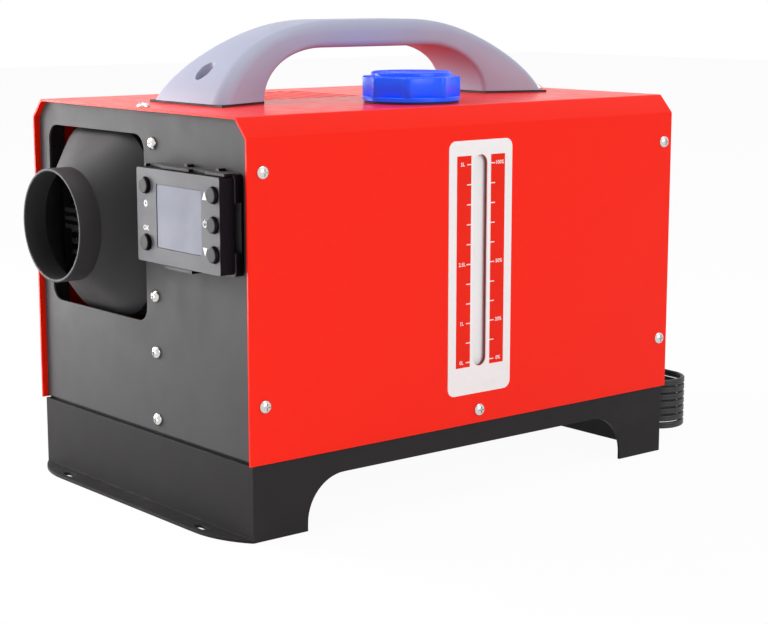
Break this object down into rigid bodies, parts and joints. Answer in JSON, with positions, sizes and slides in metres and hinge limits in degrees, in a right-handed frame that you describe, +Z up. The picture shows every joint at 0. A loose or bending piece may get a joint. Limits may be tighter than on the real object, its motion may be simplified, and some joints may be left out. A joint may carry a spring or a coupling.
{
  "type": "diesel air heater",
  "caption": "Portable diesel air heater: red sheet-metal case on a black stand, round hot-air spigot, controller, level gauge, blue filler cap, carry handle and cord.",
  "frame": {"origin": "floor level at the centre of the stand and of its four fixing slots", "axes": "+Z up, +Y from the hot-air outlet to the back, +X to the right seen from the outlet end, where the level gauge is"},
  "size_m": [0.2552, 0.4599, 0.3066],
  "materials": {
    "red_paint": "powder-coated orange red sheet",
    "charcoal_paint": "fine-textured charcoal powder coat",
    "grey_paint": "fine-textured grey powder coat",
    "zinc_sheet": "zinc-plated sheet",
    "zinc_screw": "bright zinc-plated steel",
    "handle_plastic": "lavender-grey moulded nylon",
    "black_rubber": "black rubber",
    "white_plate": "white printed plastic plate",
    "red_print": "red printed bars",
    "tank_plastic": "translucent white blow-moulded plastic",
    "brass": "brass",
    "filter_plastic": "clear plastic bowl",
    "pump_steel": "plated steel",
    "fuel_hose": "green nylon fuel hose",
    "dark_plastic": "dark grey moulded plastic",
    "cast_aluminium": "as-cast aluminium",
    "burner_steel": "heat-tinted stainless steel",
    "ceramic": "ceramic and steel",
    "motor_steel": "dark plated motor can",
    "circuit_board": "circuit board",
    "gasket_fibre": "graphite fibre sheet",
    "cord_pvc": "black vinyl cord",
    "face_plastic": "grey satin plastic",
    "lcd_glass": "pale display glass",
    "button_rubber": "dark grey rubber",
    "cap_plastic": "bright blue plastic"
  },
  "bodies": {
    "case": {"base_stand": "charcoal_paint", "floor_plate": "charcoal_paint", "outer_cover": "red_paint", "front_panel": "grey_paint", "rear_panel": "grey_paint", "divider_panel": "zinc_sheet", "carry_handle": "handle_plastic", "handle_pads": "black_rubber", "handle_screws": "zinc_screw", "cover_screws": "zinc_screw", "panel_screws": "zinc_screw", "gauge_plate": "white_plate", "gauge_scale": "red_print", "fuel_tank": "tank_plastic", "filler_gasket": "black_rubber", "fuel_outlet": "brass", "fuel_filter": "filter_plastic", "pump_body": "pump_steel", "pump_clamp": "black_rubber", "fuel_lines": "fuel_hose", "outlet_hood": "dark_plastic", "outlet_grille": "dark_plastic", "heater_lower_shell": "dark_plastic", "heater_upper_shell": "dark_plastic", "heat_exchanger": "cast_aluminium", "burner_tube": "burner_steel", "glow_plug": "ceramic", "blower_motor": "motor_steel", "control_box": "circuit_board", "overheat_sensor": "ceramic", "intake_grille": "dark_plastic", "heater_bracket": "zinc_sheet", "mount_gasket": "gasket_fibre", "heater_studs": "zinc_screw", "exhaust_stub": "burner_steel", "air_intake_stub": "dark_plastic", "rear_grille": "charcoal_paint", "cord_gland": "black_rubber", "power_cord_lead": "cord_pvc", "power_cord_hank": "cord_pvc", "cord_ties": "dark_plastic", "cord_cores": "cord_pvc", "ring_terminals": "brass", "controller_case": "dark_plastic", "controller_bezel": "face_plastic", "lcd_lens": "lcd_glass", "controller_board": "circuit_board", "controller_holder": "dark_plastic", "controller_cable": "cord_pvc"},
    "rotor": {"motor_shaft": "pump_steel", "air_fan": "dark_plastic", "combustion_fan": "cast_aluminium"},
    "plunger": {"pump_plunger": "pump_steel"},
    "cap_lift": {"cap_seal": "black_rubber"},
    "fuel_cap": {"fuel_cap": "cap_plastic"},
    "menu_button": {"menu_button": "button_rubber"},
    "ok_button": {"ok_button": "button_rubber"},
    "up_button": {"up_button": "button_rubber"},
    "power_button": {"power_button": "button_rubber"},
    "down_button": {"down_button": "button_rubber"}
  },
  "joints": [
    {"name": "fan_spin", "type": "hinge", "parent": "case", "child": "rotor", "pos_m": [-0.051, 0.07, 0.177], "axis": [0, 1, 0], "continuous": true},
    {"name": "pump_stroke", "type": "slide", "parent": "case", "child": "plunger", "axis": [0, 1, 0], "range_m": [0, 0.002], "stiffness_N_per_m": 800, "springref_m": -0.002},
    {"name": "cap_rise", "type": "slide", "parent": "case", "child": "cap_lift", "axis": [0, 0, 1], "range_m": [0, 0.008]},
    {"name": "cap_turn", "type": "hinge", "parent": "cap_lift", "child": "fuel_cap", "pos_m": [0.07, -0.0105, 0.265], "axis": [0, 0, 1], "range_deg": [0, 720]},
    {"name": "menu_press", "type": "slide", "parent": "case", "child": "menu_button", "axis": [0, 1, 0], "range_m": [0, 0.001], "stiffness_N_per_m": 600, "springref_m": -0.001},
    {"name": "ok_press", "type": "slide", "parent": "case", "child": "ok_button", "axis": [0, 1, 0], "range_m": [0, 0.001], "stiffness_N_per_m": 600, "springref_m": -0.001},
    {"name": "up_press", "type": "slide", "parent": "case", "child": "up_button", "axis": [0, 1, 0], "range_m": [0, 0.001], "stiffness_N_per_m": 600, "springref_m": -0.001},
    {"name": "power_press", "type": "slide", "parent": "case", "child": "power_button", "axis": [0, 1, 0], "range_m": [0, 0.001], "stiffness_N_per_m": 600, "springref_m": -0.001},
    {"name": "down_press", "type": "slide", "parent": "case", "child": "down_button", "axis": [0, 1, 0], "range_m": [0, 0.001], "stiffness_N_per_m": 600, "springref_m": -0.001}
  ],
  "couplings": [
    {"joint": "cap_turn", "follows": "cap_rise", "rad_per_m": 1570.8}
  ]
}
